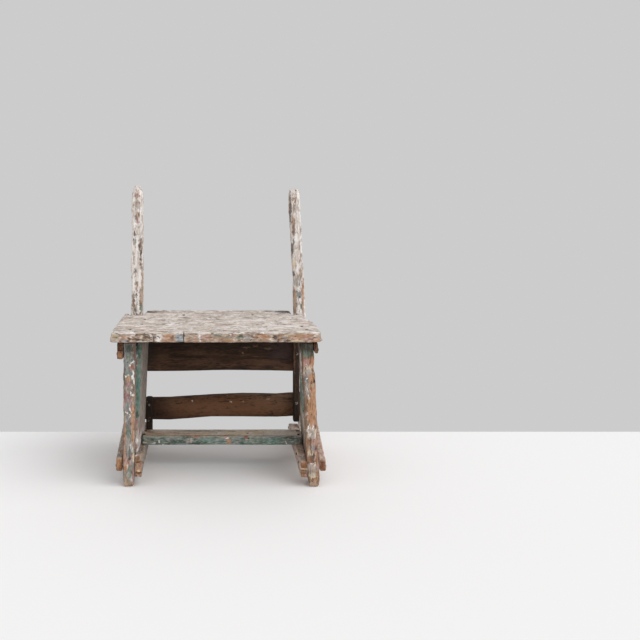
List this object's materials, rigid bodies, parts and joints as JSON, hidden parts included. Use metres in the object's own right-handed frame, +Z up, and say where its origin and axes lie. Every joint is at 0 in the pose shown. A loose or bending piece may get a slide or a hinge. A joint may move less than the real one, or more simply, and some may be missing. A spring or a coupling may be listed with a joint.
{
  "type": "work stool",
  "caption": "Weathered nailed timber work stool with a thick plank seat, two side frames of legs and low rails, and two tall back posts.",
  "frame": {"origin": "middle of the bounding box's footprint, on the floor that the legs and posts stand on", "axes": "+Z up along the back posts, +Y towards the rear, +X to the right seen from the front"},
  "size_m": [0.5674, 0.392, 0.755],
  "materials": {
    "crusted_paint": "old paint, crusted and cracked over bare timber",
    "grey_green_paint": "grey-green and red paint, worn through",
    "worn_orange_timber": "bare orange softwood with remains of paint",
    "white_washed_timber": "whitish paint splashes, weathered and rough",
    "grey_paint": "dull grey paint",
    "dark_timber": "dark stained board, dull",
    "green_paint": "green paint, scuffed",
    "end_grain_timber": "sawn end grain, red-brown",
    "rusted_iron": "rusted"
  },
  "bodies": {
    "root": {"seat": "crusted_paint", "front_leg_left": "grey_green_paint", "front_leg_right": "worn_orange_timber", "back_post_left": "white_washed_timber", "back_post_right": "white_washed_timber", "side_plank_left": "grey_paint", "side_plank_right": "grey_paint", "upper_rail_left": "end_grain_timber", "upper_rail_right": "end_grain_timber", "outer_rail_left": "end_grain_timber", "outer_rail_right": "end_grain_timber", "inner_rail_left": "white_washed_timber", "inner_rail_right": "white_washed_timber", "front_stretcher": "green_paint", "rear_apron": "dark_timber", "rear_board": "dark_timber", "rear_batten_right": "dark_timber", "rear_cleat_left": "dark_timber", "seat_nail_1": "rusted_iron", "seat_nail_2": "rusted_iron", "seat_nail_3": "rusted_iron", "seat_nail_4": "rusted_iron", "seat_nail_5": "rusted_iron", "seat_nail_6": "rusted_iron", "seat_nail_7": "rusted_iron", "upper_rail_nail_1": "rusted_iron", "upper_rail_nail_2": "rusted_iron", "upper_rail_nail_3": "rusted_iron", "upper_rail_nail_4": "rusted_iron", "outer_rail_nail_1": "rusted_iron", "outer_rail_nail_2": "rusted_iron", "outer_rail_nail_3": "rusted_iron", "outer_rail_nail_4": "rusted_iron", "inner_rail_nail_1": "rusted_iron", "inner_rail_nail_2": "rusted_iron", "inner_rail_nail_3": "rusted_iron", "inner_rail_nail_4": "rusted_iron", "inner_rail_nail_5": "rusted_iron", "inner_rail_nail_6": "rusted_iron", "stretcher_nail_1": "rusted_iron", "stretcher_nail_2": "rusted_iron", "stretcher_nail_3": "rusted_iron", "stretcher_nail_4": "rusted_iron", "apron_nail_1": "rusted_iron", "apron_nail_2": "rusted_iron", "apron_nail_3": "rusted_iron", "apron_nail_4": "rusted_iron", "rear_board_nail_1": "rusted_iron", "rear_board_nail_2": "rusted_iron", "rear_board_nail_3": "rusted_iron", "rear_board_nail_4": "rusted_iron", "batten_nail_1": "rusted_iron", "batten_nail_2": "rusted_iron", "batten_nail_3": "rusted_iron", "batten_nail_4": "rusted_iron"}
  },
  "joints": []
}
